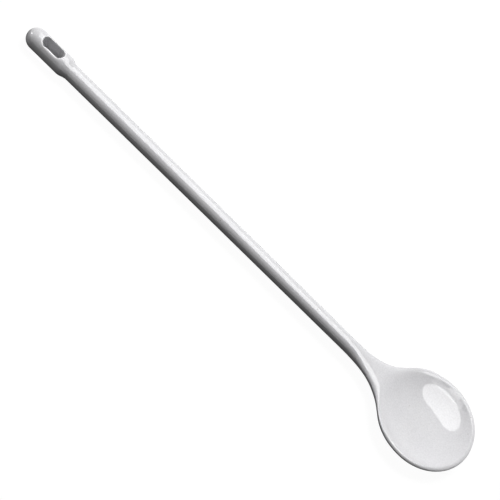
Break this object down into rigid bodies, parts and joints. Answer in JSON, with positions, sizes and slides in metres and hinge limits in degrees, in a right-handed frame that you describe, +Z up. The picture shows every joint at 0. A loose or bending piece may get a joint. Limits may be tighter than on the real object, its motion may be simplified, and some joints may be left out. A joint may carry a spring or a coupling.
{
  "type": "mixing spoon",
  "caption": "Long white mixing spoon with a shallow round bowl, a slim round handle and a slotted eye for hanging it up.",
  "frame": {"origin": "on the table under the middle of the spoon's length, as it lies face up", "axes": "+X along the handle towards the bowl, +Y across the spoon, +Z up out of the bowl"},
  "size_m": [0.31, 0.0546, 0.0118],
  "materials": {
    "melamine": "glossy hard white"
  },
  "bodies": {
    "root": {"hanging_eye": "melamine", "handle": "melamine", "bowl": "melamine"}
  },
  "joints": []
}
